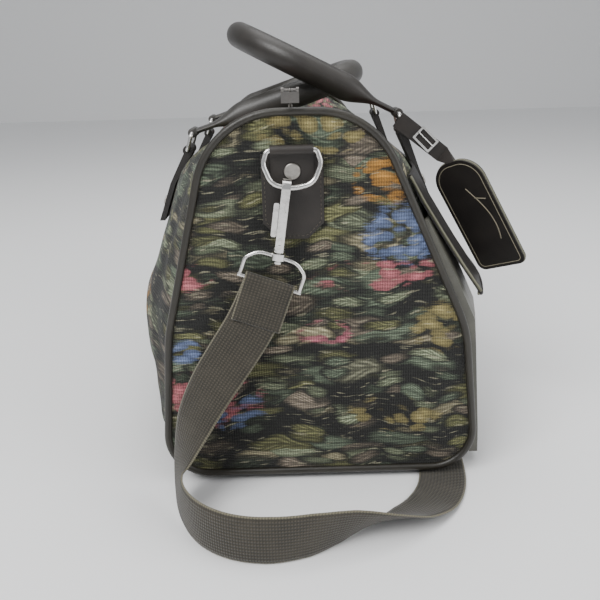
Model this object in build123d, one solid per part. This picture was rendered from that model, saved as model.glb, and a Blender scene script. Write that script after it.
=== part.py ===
from build123d import *
import math
import os

# Carpet bag: a tapestry holdall with two rolled handles, a front pocket, a luggage tag and a clip-on
# shoulder strap. Millimetres, +Z up. The bag's length runs along Y with the near end at -Y. The front, with
# the pocket, is +X and the back is -X. Everything is drawn about the middle of the base and saved about the
# middle of the whole width, on the floor, because the tag and the pocket stand out further than the back.

# ---- driving dimensions -------------------------------------------------------------------------------
length = 450.0            # over the two end panels
foot_height = 5.0         # the base stands this far off the floor
crest_z = 300.0           # top of the piping on the end panels
wall = 3.0                # cloth wall with its lining and stiffener
piping_r = 3.0            # radius of the round piping
seam_gap = 0.2            # between the piping and the cloth it is sewn to
zip_x = -17.0             # the zip line leans towards the back
zip_half = 7.0            # half the gap between the side panels that the zip tapes fill
zip_end_z = crest_z - 7   # zip line at the end panels
zip_mid_z = crest_z - 36  # zip line at the middle, where the bag sags
base_half = 85.0          # half the width of the separate base panel
middle_x = 11.45          # middle of the whole width, as drawn

# Outline of an end, outside the piping: corner points (x, z) and corner radii, back side then front side.
end_corners = {-1: [(-77.0, crest_z), (-120.0, 130.0), (-131.0, foot_height)],
               1: [(43.0, crest_z), (118.0, 130.0), (131.0, foot_height)]}
# How far each corner stands further out at the middle of the bag than at its ends.
mid_bulge = {-1: (31.0, 40.0, 16.0), 1: (31.0, 16.0, 5.0)}
corner_radii = (66.0, 110.0, 36.0)
bulge_power = 4.0         # the bag fills out quickly behind the end panels
section_ys = (0.0, 50.0, 100.0, 150.0, 190.0)

# Handles
handle_r = 12.0
handle_reach = 154.0      # from the ring's upper bar to the middle of the grip
handle_end = 22.0         # where the round part starts, from the same bar
tongue_width = 21.0
tongue_thick = 5.0
front_half_span = 105.0
back_half_span = 80.0
front_bend = 65.0
back_bend = 50.0
front_lean = 26.5         # degrees above level, leaning to the back
back_lean = 17.9          # degrees above level, leaning to the front
handle_ring_r = 1.75      # wire radius of the handle rings
handle_ring_half = 17.0   # half the length of a ring, between its wires' middles
front_ring_top = (74.5, crest_z - 14)
front_ring_low = (78.0, crest_z - 28)
back_ring_top = (-106.0, crest_z - 28)
back_ring_low = (-111.0, crest_z - 43)
anchor_width = 26.0
anchor_thick = 2.4
anchor_feet = {-1: 194.0, 1: 216.0}     # lower ends of the sewn anchor straps, back and front
anchor_leaves = {-1: 228.0, 1: 240.0}   # where they leave the side of the bag
fold_clear = 0.35         # between a wire and the strap folded round it

# Ring tab, D-ring and snap hook on each end
tab_x = -17.0
patch_width = 45.0
patch_low_z = 206.0
patch_high_z = 268.0
patch_thick = 2.0
tab_width = 31.0
tab_thick = 1.6
tab_low_z = 246.0
rivet_r = 6.0
rivet_z = 256.0
d_wire_r = 2.0
d_bar_z = 271.0
d_half_width = 20.8       # to the wire's middle
d_drop = 26.0             # from the bar to the middle of the curve
d_hang_deg = 10.0         # the D-ring hangs this far off the patch
hook_x = -21.5
hook_lean_deg = 8.5
hook_width = 6.2
hook_thick = 3.4
hook_throat = 3.0         # inner radius of the hook's bend
hook_length = 44.0
gate_thick = 1.4
gate_pivot_drop = 40.0
bail_lean_deg = 20.0
bail_half = 23.0
bail_wire = 3.2
webbing_width = 38.0
webbing_thick = 2.2

# Pocket and flap on the front
pocket_end_y = length / 2 - 20
pocket_high_z = 212.0
pocket_low_z = 9.0
pocket_depth = 12.0
gusset_thick = 2.0
flap_end_y = length / 2 - 29
flap_thick = 3.4
flap_high_z = 246.0
flap_low_z = 150.0

# Luggage tag
tag_length = 105.0
tag_width = 48.0
tag_thick = 4.0
tag_top = (116.0, 247.0)
tag_lean_deg = 29.0       # from hanging straight down
tag_turn_deg = 45.0       # turned about its own length
tag_y = -139.0
tag_strap_width = 14.0
tag_strap_thick = 1.7

half = length / 2
end_thick = wall
side_end = half - end_thick
piping_inset = 2 * piping_r + seam_gap
os.makedirs("parts", exist_ok=True)


def save(name, shape):
    """Writes one node as parts/NAME.step, about the middle of the whole width."""
    shape = Pos(-middle_x, 0, 0) * shape
    shape.label = name
    export_step(shape, "parts/" + name + ".step")


# ---- the bag's own surface ----------------------------------------------------------------------------
sag = zip_end_z - zip_mid_z
zip_radius = (side_end ** 2 + sag ** 2) / (2 * sag)
zip_centre_z = zip_mid_z + zip_radius


def zip_z(y):
    """Height of the zip line: an arc that sags from the ends to the middle."""
    return zip_centre_z - math.sqrt(zip_radius ** 2 - y ** 2)


def fullness(y):
    """0 at the end panels, 1 at the middle."""
    return 1 - min(1.0, abs(y) / side_end) ** bulge_power


def line_cross(p, d, q, e):
    """Where the line through p along d meets the line through q along e."""
    t = ((q[0] - p[0]) * e[1] - (q[1] - p[1]) * e[0]) / (d[0] * e[1] - d[1] * e[0])
    return (p[0] + d[0] * t, p[1] + d[1] * t)


def inset_lines(points, distance, side):
    """The runs of an outline moved inwards by distance, each as a point and a direction."""
    lines = []
    for (x0, z0), (x1, z1) in zip(points, points[1:]):
        run = math.hypot(x1 - x0, z1 - z0)
        d = ((x1 - x0) / run, (z1 - z0) / run)
        normal = (side * d[1], -side * d[0])
        lines.append(((x0 + normal[0] * distance, z0 + normal[1] * distance), d))
    return lines


def inset(points, distance, side):
    """An open outline moved inwards by distance. Its two ends stay at the same x."""
    lines = inset_lines(points, distance, side)
    moved = [(points[0][0], lines[0][0][1])]
    for (p, d), (q, e) in zip(lines, lines[1:]):
        moved.append(line_cross(p, d, q, e))
    moved.append((points[-1][0], lines[-1][0][1]))
    return moved


def inset_corners(side, distance):
    """The end outline's three corners on one side, moved inwards by distance."""
    outline = [(zip_x, crest_z)] + end_corners[side] + [(0.0, foot_height)]
    return inset(outline, distance, side)[1:-1]


def corners(side, y):
    """The three outer corner points (x, z) of the side wall at y, top first, inside the piping."""
    f = fullness(y)
    points = []
    for (x, z), bulge in zip(inset_corners(side, piping_inset), mid_bulge[side]):
        points.append((x + side * (bulge + piping_inset) * f, z))
    return [(points[0][0], zip_z(y)), points[1], (points[2][0], foot_height)]


def at_y(points, y):
    """(x, z) pairs as points in the plane at y."""
    return [(x, y, z) for x, z in points]


def side_section(side, y):
    """Face across one side wall at y: rounded outside, and the same outline set in by the wall."""
    outer = [(zip_x + side * zip_half, zip_z(y))] + corners(side, y) + [(side * base_half, foot_height)]
    inner = inset(outer, wall, side)
    radii = [r - piping_inset * (1 - fullness(y)) for r in corner_radii]
    thin = [r - wall for r in radii]
    out_line = FilletPolyline(*at_y(outer, y), radius=radii)
    in_line = FilletPolyline(*at_y(inner, y), radius=thin)
    top = Line(out_line @ 0, in_line @ 0)
    foot = Line(out_line @ 1, in_line @ 1)
    return Face(Wire(out_line.edges() + in_line.edges() + top.edges() + foot.edges()))


def stations(end):
    """The y values of the sections, from -end to end."""
    inside = [y for y in section_ys if y < end]
    return [-end] + [-y for y in reversed(inside) if y > 0] + inside + [end]


def side_panel(side):
    """One side of the bag, from the zip down to the base panel."""
    return loft([side_section(side, y) for y in stations(side_end)], ruled=True)


def skin_x(side, y, z):
    """x of the side wall's outside at y and z, between its upper and lower corners."""
    top, middle, low = corners(side, y)
    a, b = (top, middle) if z > middle[1] else (middle, low)
    return a[0] + (b[0] - a[0]) * (z - a[1]) / (b[1] - a[1])


def rounded_ring(gap, y):
    """The end outline as one closed wire at y, moved in by gap."""
    back = inset_corners(-1, gap)
    front = inset_corners(1, gap)
    points = [*front, *reversed(back)]
    radii = [r - gap for r in (*corner_radii, *reversed(corner_radii))]
    return FilletPolyline(*at_y(points, y), radius=radii, close=True)


def end_panel(side):
    """Flat tapestry end, inside its piping."""
    outline = rounded_ring(piping_inset, side * side_end)
    return extrude(Face(Wire(outline.edges())), amount=end_thick, dir=(0, side, 0))


def piping(side):
    """Round piping on the edge of an end panel."""
    y = side * (side_end + piping_r)
    path = Wire(rounded_ring(piping_r, y).edges())
    start = path @ 0
    return sweep(Plane(start, z_dir=path % 0) * Circle(piping_r), path=path)


for name, side in (("back_side_panel", -1), ("front_side_panel", 1)):
    save(name, side_panel(side))
for name, side in (("near", -1), ("far", 1)):
    save(name + "_end_panel", end_panel(side))
    save(name + "_piping", piping(side))

# Base panel between the two sides, and the stiff board that lies on it inside.
base_panel = Pos(0, 0, foot_height + wall / 2) * Box(2 * base_half, 2 * side_end, wall)
board_thick = 3.0
board_half = 88.0
base_board = Pos(0, 0, foot_height + wall + board_thick / 2) * Box(2 * board_half, 2 * (side_end - 4), board_thick)
save("base_panel", base_panel)
save("base_board", fillet(base_board.edges().filter_by(Axis.Z), 20))

# Four domed studs that hold the base off the floor.
foot_r = 6.0
foot_x = 70.0
foot_y = half - 35
stud = Pos(0, 0, foot_height / 2) * Cylinder(foot_r, foot_height)
stud = fillet(stud.edges().sort_by(Axis.Z)[0], 2.5)
save("base_studs", Compound([Pos(x, y, 0) * stud for x in (-foot_x, foot_x) for y in (-foot_y, foot_y)]))


# ---- zip ----------------------------------------------------------------------------------------------
def zip_strip(x0, x1, above, below, end):
    """A strip along the zip line's arc, between two heights about it and from -end to end."""
    def arc(offset):
        z_end = zip_z(end) + offset
        return ThreePointArc((x0, -end, z_end), (x0, 0, zip_mid_z + offset), (x0, end, z_end))

    upper = arc(above)
    lower = arc(-below)
    sides = [Line(upper @ 0, lower @ 0), Line(upper @ 1, lower @ 1)]
    face = Face(Wire(upper.edges() + lower.edges() + sides[0].edges() + sides[1].edges()))
    return extrude(face, amount=x1 - x0, dir=(1, 0, 0))


tooth_half = 2.6
tape_thick = 1.2
tooth_rise = 0.6
teeth_end = side_end - 3.0
stop_length = 2.6
save("zip_tape_back", zip_strip(zip_x - zip_half, zip_x - tooth_half, 0, tape_thick, side_end))
save("zip_tape_front", zip_strip(zip_x + tooth_half, zip_x + zip_half, 0, tape_thick, side_end))
save("zip_teeth", zip_strip(zip_x - tooth_half, zip_x + tooth_half, tooth_rise, tape_thick, teeth_end))
stop = Box(2 * tooth_half, stop_length, 2.4)
stop_y = side_end - stop_length / 2 - 0.2
stops = [Pos(zip_x, s * stop_y, zip_z(stop_y)) * stop for s in (-1, 1)]
save("zip_stops", Compound(stops))

# Slider on the teeth at the near end, with a wire eye that reaches over the piping, and the pull that hangs
# from the eye. The slider's frame: origin on the zip line, u along it towards the near end, v away from it.
slider_y = 13.0 - half
slider_length = 14.0
slider_width = 11.0
slider_thick = 2.6
slider_gap = 0.3
bridge_rise = 8.5
eye_wire_r = 0.8
eye_y = -half - 8
eye_z = crest_z + 12
pull_length = 10.0
pull_width = 12.5
pull_thick = 1.5
slider_tilt = math.degrees(math.asin(slider_y / zip_radius))
slider_z = zip_z(slider_y)


def slider():
    """Slider body with its bridge, and the wire eye from the bridge out over the piping."""
    low = tooth_rise + slider_gap
    body = Pos(0, 0, low + slider_thick / 2) * Box(slider_width, slider_length, slider_thick)
    body = fillet(body.edges().filter_by(Axis.Z), 3)
    post = Pos(0, 3, low + slider_thick + bridge_rise / 2 - 1) * Box(3, 5, bridge_rise)
    placed = Pos(zip_x, slider_y, slider_z) * Rot(X=slider_tilt) * (body + post)
    root_y = slider_y + 3
    root_z = slider_z + low + slider_thick + bridge_rise - 5.6
    eye = [(zip_x, root_y, root_z), (zip_x, root_y - 8, eye_z - 6.6), (zip_x, eye_y, eye_z)]
    path = FilletPolyline(*eye, radius=6)
    rod = sweep(Plane(path @ 0, z_dir=path % 0) * Circle(eye_wire_r), path=path)
    bar = Pos(zip_x, eye_y, eye_z) * Rot(Y=90) * Cylinder(eye_wire_r, pull_width - 4)
    joint = Pos(zip_x, eye_y, eye_z) * Sphere(eye_wire_r + 0.3)
    return placed + rod + joint + bar


save("zip_slider", slider())
pull_hole = eye_wire_r + 0.25
plate = Pos(0, 0, -pull_length / 2 + 1.2) * Box(pull_width, pull_thick, pull_length)
window = Pos(0, -pull_thick / 2, -pull_length / 2) * Box(pull_width - 4, 0.8, pull_length - 5)
knuckle_length = 1.8
knuckles = [Pos(s * (pull_width / 2 - 1.0), 0, 0) * Rot(Y=90) * Cylinder(1.7, knuckle_length) for s in (-1, 1)]
cleared = Pos(0, 0, 1.4) * Box(pull_width - 4, 4, 5.6)
pull = plate - window - cleared + knuckles[0] + knuckles[1] - Rot(Y=90) * Cylinder(pull_hole, pull_width + 4)
save("zip_pull", Pos(zip_x, eye_y, eye_z) * pull)


# ---- ring tab, D-ring and snap hook, built for the near end and mirrored for the far end --------------
def place_end(shape, side):
    """Shapes are drawn at the near end. The far end has their mirror image."""
    return shape if side < 0 else mirror(shape, about=Plane.XZ)


patch_face_y = -half - patch_thick
d_bar_y = patch_face_y - 0.3 - tab_thick - fold_clear - d_wire_r
hang = math.radians(d_hang_deg)
wire_low = (d_bar_y - d_drop * math.sin(hang), d_bar_z - d_drop * math.cos(hang))


def ring_patch():
    """Leather backing with a pointed foot, sewn to the end panel."""
    w = patch_width / 2
    chamfer = 12.0
    outline = Polyline((tab_x - w, 0, patch_high_z), (tab_x - w, 0, patch_low_z + chamfer),
                       (tab_x - w + chamfer, 0, patch_low_z), (tab_x + w - chamfer, 0, patch_low_z),
                       (tab_x + w, 0, patch_low_z + chamfer), (tab_x + w, 0, patch_high_z), close=True)
    face = Pos(0, -half, 0) * Face(Wire(outline.edges()))
    return extrude(face, amount=patch_thick, dir=(0, -1, 0))


def ring_tab():
    """Leather strip folded round the D-ring's bar, its two ends riveted down on the patch."""
    roll_in = d_wire_r + fold_clear
    roll_out = roll_in + tab_thick
    roll = Pos(tab_x, d_bar_y, d_bar_z) * Rot(Y=90) * Cylinder(roll_out, tab_width)
    back_y = patch_face_y - 0.3
    tail_height = d_bar_z - tab_low_z
    tail = Pos(tab_x, back_y - tab_thick / 2, d_bar_z - tail_height / 2) * Box(tab_width, tab_thick, tail_height)
    bore = Pos(tab_x, d_bar_y, d_bar_z) * Rot(Y=90) * Cylinder(roll_in, tab_width + 2)
    slot = Pos(tab_x, d_bar_y - 3, d_bar_z - 4.5) * Box(tab_width + 2, 6, 5)
    return roll + tail - bore - slot


def tab_rivet():
    """Round cap rivet on the tab."""
    cap_height = 2.0
    y = patch_face_y - 0.3 - tab_thick
    cap = Pos(tab_x, y - cap_height / 2, rivet_z) * Rot(X=90) * Cylinder(rivet_r, cap_height)
    return fillet(cap.edges().sort_by(Axis.Y)[0], 1.2)


def d_ring():
    """D of round wire: a straight bar in the tab and a curve that hangs a little off the patch."""
    shoulder = 9.0
    w = d_half_width
    points = [(-w + 3, 0, 0), (-w, 0, -shoulder), (-w * 0.72, 0, -d_drop + 2.6), (0, 0, -d_drop - 0.9),
              (w * 0.72, 0, -d_drop + 2.6), (w, 0, -shoulder), (w - 3, 0, 0)]
    path = FilletPolyline(*points, radius=[3, 10, 11.5, 24, 11.5, 10, 3], close=True)
    wire = Wire(path.edges())
    body = sweep(Plane(wire @ 0.02, z_dir=wire % 0.02) * Circle(d_wire_r), path=wire)
    return Pos(tab_x, d_bar_y, d_bar_z) * Rot(X=-d_hang_deg) * body


def hook_frame(shape):
    """The hook's own frame: origin at the middle of the D-ring's wire, leaning with the strap."""
    return Pos(hook_x, wire_low[0], wire_low[1]) * Rot(Y=hook_lean_deg) * shape


def hook_body():
    """Cast hook seen from its spine: a grooved shank, a bend over the wire, and a swivel pin below."""
    r_in = hook_throat
    r_out = hook_throat + hook_thick
    bend = Rot(Y=90) * Cylinder(r_out, hook_width)
    lower_half = Pos(0, 0, -r_out) * Box(hook_width + 2, 2 * r_out + 2, 2 * r_out)
    bend = bend - lower_half
    shank = Pos(0, -r_in - hook_thick / 2, -hook_length / 2) * Box(hook_width, hook_thick, hook_length)
    nose = Pos(0, r_in + hook_thick / 2, -1.5) * Box(hook_width, hook_thick, 3.0)
    throat = Rot(Y=90) * Cylinder(r_in, hook_width + 2)
    groove = Pos(0, -r_out, -hook_length / 2 - 1) * Box(2.0, 1.8, hook_length - 8)
    foot = Pos(0, -2.4, -hook_length - 1.0) * Cylinder(4.2, 3.0)
    pin = Pos(0, -2.4, -hook_length - 6.0) * Cylinder(1.8, 8.0)
    head = Pos(0, -2.4, -hook_length - 10.6) * Cylinder(3.0, 1.6)
    return hook_frame(bend + shank + nose - throat - groove + foot + pin + head)


def hook_gate():
    """Sprung gate behind the shank with its thumb lever at the left, hinged near the shank's foot."""
    top_gap = 0.5
    y_top = hook_throat + 1.6
    y_foot = -hook_throat + 1.4
    z_top = -3.0 - top_gap
    z_foot = -gate_pivot_drop
    g = gate_thick
    blade_pts = [(-2.4, y_top - g, z_top), (-2.4, y_top, z_top), (-2.4, y_foot + g, z_foot), (-2.4, y_foot, z_foot)]
    blade = extrude(Face(Wire(Polyline(*blade_pts, close=True).edges())), amount=4.8, dir=(1, 0, 0))
    knuckle = Pos(0, y_foot + 0.6, z_foot) * Rot(Y=90) * Cylinder(1.6, 4.8)
    lever = fillet((Pos(-5.4, y_foot + 1.5, -24.0) * Box(4.0, 1.1, 25.0)).edges().filter_by(Axis.Y), 1.4)
    arm = Pos(-3.1, y_foot + 1.5, -33.0) * Box(2.6, 1.1, 4.0)
    return hook_frame(blade + knuckle + lever + arm)


def bail_frame(shape):
    """Frame of the strap bail: origin on the swivel, leaning with the strap."""
    drop = hook_length + 6.0
    lean = math.radians(hook_lean_deg)
    x = hook_x - math.sin(lean) * drop
    z = wire_low[1] - math.cos(lean) * drop
    return Pos(x, wire_low[0] - 2.4, z) * Rot(Y=bail_lean_deg) * shape


def hook_bail():
    """Bail on the swivel: a hub, two arms that sweep down, and the bar that carries the strap."""
    hub = Cylinder(5.2, 5.0) - Cylinder(2.1, 8.0)
    hub = Rot(Y=hook_lean_deg - bail_lean_deg) * hub
    r = bail_wire / 2
    solid = hub
    for s in (-1, 1):
        arm = [(s * 4.4, 0, -0.6), (s * 15, 0, -0.8), (s * bail_half, 0, -8), (s * bail_half, 0, -bar_drop)]
        path = FilletPolyline(*arm, radius=[14, 6])
        solid = solid + sweep(Plane(path @ 0, z_dir=path % 0) * Circle(r), path=path)
    bar = Pos(0, 0, -bar_drop) * Rot(Y=90) * Cylinder(r, 2 * bail_half + bail_wire)
    return bail_frame(solid + bar)


bar_drop = 22.0
end_parts = (("ring_patch", ring_patch()), ("ring_tab", ring_tab()), ("tab_rivet", tab_rivet()),
             ("d_ring", d_ring()), ("hook_body", hook_body()), ("hook_gate", hook_gate()),
             ("hook_bail", hook_bail()))
for end_name, side in (("near", -1), ("far", 1)):
    for part_name, shape in end_parts:
        save(end_name + "_" + part_name, place_end(shape, side))


# ---- handles, their rings and the straps that anchor them ---------------------------------------------
def handle(half_span, bend_r, ring_top, turn_deg):
    """Rolled handle: a round U with a flat tongue at each end folded round its ring's upper bar."""
    u = [(handle_end, -half_span, 0), (handle_reach, -half_span, 0), (handle_reach, half_span, 0),
         (handle_end, half_span, 0)]
    path = FilletPolyline(*u, radius=bend_r)
    solid = sweep(Plane(path @ 0, z_dir=path % 0) * Circle(handle_r), path=path)
    loop_in = handle_ring_r + fold_clear
    loop_out = loop_in + 2.2
    for s in (-1, 1):
        tongue_length = handle_end + 4 - loop_in
        tongue = Pos(loop_in + tongue_length / 2, s * half_span, 0) * Box(tongue_length, tongue_width, tongue_thick)
        loop = Pos(0, s * half_span, 0) * Rot(X=90) * Cylinder(loop_out, tongue_width)
        hole = Pos(0, s * half_span, 0) * Rot(X=90) * Cylinder(loop_in, tongue_width + 2)
        solid = solid + tongue + loop - hole
    return Pos(ring_top[0], 0, ring_top[1]) * Rot(Y=turn_deg) * solid


def handle_ring(y, low, top, wire_r=handle_ring_r):
    """Rounded rectangle of wire: its lower bar in the anchor strap, its upper bar in the handle."""
    run = math.hypot(top[0] - low[0], top[1] - low[1])
    points = [(0, -handle_ring_half, 0), (0, handle_ring_half, 0), (0, handle_ring_half, run),
              (0, -handle_ring_half, run)]
    path = Wire(FilletPolyline(*points, radius=3.5, close=True).edges())
    body = sweep(Plane(path @ 0.1, z_dir=path % 0.1) * Circle(wire_r), path=path)
    tilt = math.degrees(math.atan2(top[0] - low[0], top[1] - low[1]))
    return Pos(low[0], y, low[1]) * Rot(Y=tilt) * body


def anchor(side, y, low):
    """Strap folded round the ring's lower bar, sewn down on the side of the bag."""
    clear = 1.0
    t = 2 * anchor_thick
    far_edge = y + math.copysign(anchor_width / 2, -y)

    def outer_x(z):
        return max(side * skin_x(side, far_edge, z), side * skin_x(side, y, z)) + clear

    foot_z, leave_z = anchor_feet[side], anchor_leaves[side]
    foot_x, leave_x = outer_x(foot_z), outer_x(leave_z)
    r_in = handle_ring_r + fold_clear
    r_out = r_in + anchor_thick
    top_x, top_z = side * low[0], low[1]
    strap = [(foot_x, foot_z), (foot_x + t, foot_z), (leave_x + t, leave_z),
             (top_x + r_out - 0.4, top_z - r_out + 1.6), (top_x - r_out + 1.6, top_z - r_out + 0.4),
             (leave_x, leave_z)]
    strap = [(side * x, y - anchor_width / 2, z) for x, z in strap]
    face = Face(Wire(Polyline(*strap, close=True).edges()))
    body = extrude(face, amount=anchor_width, dir=(0, 1, 0))
    fold = Pos(low[0], y, low[1]) * Rot(X=90) * Cylinder(r_out, anchor_width)
    hole = Pos(low[0], y, low[1]) * Rot(X=90) * Cylinder(r_in, anchor_width + 2)
    return body + fold - hole


def anchor_rivet(side, y):
    """Round cap rivet through an anchor strap, square to the bag's side."""
    foot_z, leave_z = anchor_feet[side], anchor_leaves[side]
    z = (foot_z + leave_z) / 2
    far_edge = y + math.copysign(anchor_width / 2, -y)
    low_x = skin_x(side, far_edge, foot_z)
    high_x = skin_x(side, far_edge, leave_z)
    slope = math.degrees(math.atan2(abs(low_x - high_x), leave_z - foot_z))
    middle = side * (max(side * (low_x + high_x) / 2, 0) + 1.0 + 2 * anchor_thick / math.cos(math.radians(slope)) + 0.6)
    cap = fillet(Cylinder(4.5, 1.8).edges().sort_by(Axis.Z)[-1], 0.9)
    return Pos(middle, y, z) * Rot(Y=side * (90 - slope)) * Pos(0, 0, 0.4) * cap


save("handle_front", handle(front_half_span, front_bend, front_ring_top, 180 + front_lean))
save("handle_back", handle(back_half_span, back_bend, back_ring_top, -back_lean))
rivets = []
for name, side, span, low, top in (("front", 1, front_half_span, front_ring_low, front_ring_top),
                                   ("back", -1, back_half_span, back_ring_low, back_ring_top)):
    for end_name, y in (("near", -span), ("far", span)):
        save(name + "_" + end_name + "_ring", handle_ring(y, low, top))
        save(name + "_" + end_name + "_anchor", anchor(side, y, low))
        rivets.append(anchor_rivet(side, y))
save("anchor_rivets", Compound(rivets))


# ---- front pocket -------------------------------------------------------------------------------------
def side_strip(y, levels):
    """Face across something lying on the front at y. Each level is (z, inner gap, outer gap)."""
    inner = [(skin_x(1, y, z) + a, y, z) for z, a, b in levels]
    outer = [(skin_x(1, y, z) + b, y, z) for z, a, b in levels]
    return Face(Wire(Polyline(*inner, *reversed(outer), close=True).edges()))


def pocket_levels(edge):
    """Gaps of the pocket off the bag's side, full in the middle and thinner at its ends."""
    d = pocket_depth * (1.0 - 0.35 * edge)
    top, seat = pocket_high_z, 0.6
    bend = end_corners[1][1][1]
    shares = [(top, 0.3), (top - 22, 0.55), (bend + 36, 0.85), (bend + 16, 0.95), (bend, 1.0), (bend - 20, 1.0),
              (80.0, 1.0), (30.0, 1.0), (pocket_low_z, 0.9)]
    return [(z, seat, seat + share * d) for z, share in shares]


def along_pocket(end, make):
    """Lofts a strip between -end and end."""
    return loft([side_strip(y, make(abs(y) / end)) for y in stations(end)], ruled=True)


save("pocket_panel", along_pocket(pocket_end_y - gusset_thick, pocket_levels))
cheeks = []
for s in (-1, 1):
    face = side_strip(s * (pocket_end_y - gusset_thick), pocket_levels(1.0))
    cheeks.append(extrude(face, amount=gusset_thick, dir=(0, s, 0)))
save("pocket_gussets", Compound(cheeks))


def flap_levels(edge):
    """The flap leaves the bag's side above the pocket and stands off the pocket at its lip."""
    t = flap_thick
    return [(flap_high_z, 0.6, 0.6 + 0.6 * t), (225.0, 2.0, 2.0 + t), (200.0, 7.0, 7.0 + t),
            (175.0, 12.5, 12.5 + t), (flap_low_z, 19.0, 19.0 + t)]


anchor_slot = anchor_width + 1.0
slot_low = anchor_feet[1] - 3.0
flap = along_pocket(flap_end_y, flap_levels)
for y in (-front_half_span, front_half_span):
    slot = Pos(100, y, slot_low + 30) * Box(90, anchor_slot, 60)
    flap = flap - slot
save("pocket_flap", flap)


# ---- luggage tag on the near ring of the front handle -------------------------------------------------
tag_lean = math.radians(tag_lean_deg)
ring_mid = ((front_ring_low[0] + front_ring_top[0]) / 2, (front_ring_low[1] + front_ring_top[1]) / 2)
wire_y = -front_half_span - handle_ring_half


def tag_frame(shape):
    """The tag's own frame: origin at the middle of its top edge, hanging down along -Z."""
    return Pos(tag_top[0], tag_y, tag_top[1]) * Rot(Y=-tag_lean_deg) * Rot(Z=-tag_turn_deg) * shape


def tag_body():
    """Leather case with a round top and two small bottom corners."""
    w = tag_width / 2
    plate = Pos(0, 0, -tag_length / 2) * Box(tag_width, tag_thick, tag_length)
    top = plate.edges().filter_by(Axis.Y).sort_by(Axis.Z)[-2:]
    low = plate.edges().filter_by(Axis.Y).sort_by(Axis.Z)[:2]
    plate = fillet(top, w - 4)
    low = plate.edges().filter_by(Axis.Y).sort_by(Axis.Z)[:2]
    return tag_frame(fillet(low, 7))


strap_in_y = wire_y - handle_ring_r - fold_clear
strap_out_y = strap_in_y - 2 * tag_strap_thick
strap_foot = (tag_top[0] - 5, tag_top[1] + 5)


def tag_strap():
    """Doubled strap beside the ring's wire, a small closed loop round it, and a twisted foot on the tag."""
    x0, z0 = ring_mid
    run = math.hypot(strap_foot[0] - x0, strap_foot[1] - z0)
    d = ((strap_foot[0] - x0) / run, (strap_foot[1] - z0) / run)
    across = (-d[1], d[0])

    def spot(radius, angle_deg, y):
        u = radius * math.cos(math.radians(angle_deg))
        v = radius * math.sin(math.radians(angle_deg))
        return (x0 + d[0] * u - across[0] * v, y, z0 + d[1] * u - across[1] * v)

    middle_y = (strap_in_y + strap_out_y) / 2
    start = Vector(x0 - d[0] * 4.5, middle_y, z0 - d[1] * 4.5)
    plane = Plane(start, x_dir=(across[0], 0, across[1]), z_dir=(d[0], 0, d[1]))
    plate = extrude(plane * Rectangle(tag_strap_width, 2 * tag_strap_thick), amount=run + 4.5)
    loop_r = 4.9
    far_y = wire_y + handle_ring_r + fold_clear
    disc = Pos(x0, far_y + tag_strap_thick / 2, z0) * Rot(X=90) * Cylinder(loop_r, tag_strap_thick)
    corner_spots = [spot(loop_r, 122, strap_in_y - 1), spot(loop_r, 158, strap_in_y - 1), spot(3.0, 140, strap_in_y - 1)]
    side = Face(Wire(Polyline(*corner_spots, close=True).edges()))
    bridge = extrude(side, amount=far_y + 1.5 - strap_in_y + 1, dir=(0, 1, 0))
    upper = Plane(Vector(strap_foot[0], middle_y, strap_foot[1]), x_dir=(across[0], 0, across[1]),
                  z_dir=(d[0], 0, d[1]))
    lean, turn = math.radians(tag_lean_deg), math.radians(tag_turn_deg)
    across_tag = (math.cos(turn) * math.cos(lean), -math.sin(turn), math.cos(turn) * math.sin(lean))
    down_tag = (math.sin(lean), 0, -math.cos(lean))
    lower = Plane(Vector(tag_top[0], tag_y, tag_top[1]), x_dir=across_tag, z_dir=down_tag)
    foot = loft([upper * Rectangle(tag_strap_width, 2 * tag_strap_thick), lower * Rectangle(7.6, tag_thick - 0.6)],
                ruled=True)
    return plate + disc + bridge + foot


def tag_buckle():
    """Small square buckle on the strap's outer layer."""
    frame = Box(19, 1.6, 13) - Box(15.6, 3, 9.6)
    frame = fillet(frame.edges().filter_by(Axis.Y), 0.8)
    return Pos(tag_top[0] - 20, strap_out_y - 0.8, tag_top[1] + 18) * Rot(Y=45) * frame


def tag_prong():
    """Prong of the buckle."""
    prong = Rot(Y=90) * Cylinder(0.7, 17.6)
    return Pos(tag_top[0] - 20, strap_out_y - 2.3, tag_top[1] + 18) * Rot(Y=45) * prong


save("tag_body", tag_body())
save("tag_strap", tag_strap())
save("tag_buckle", tag_buckle())
save("tag_prong", tag_prong())


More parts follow.
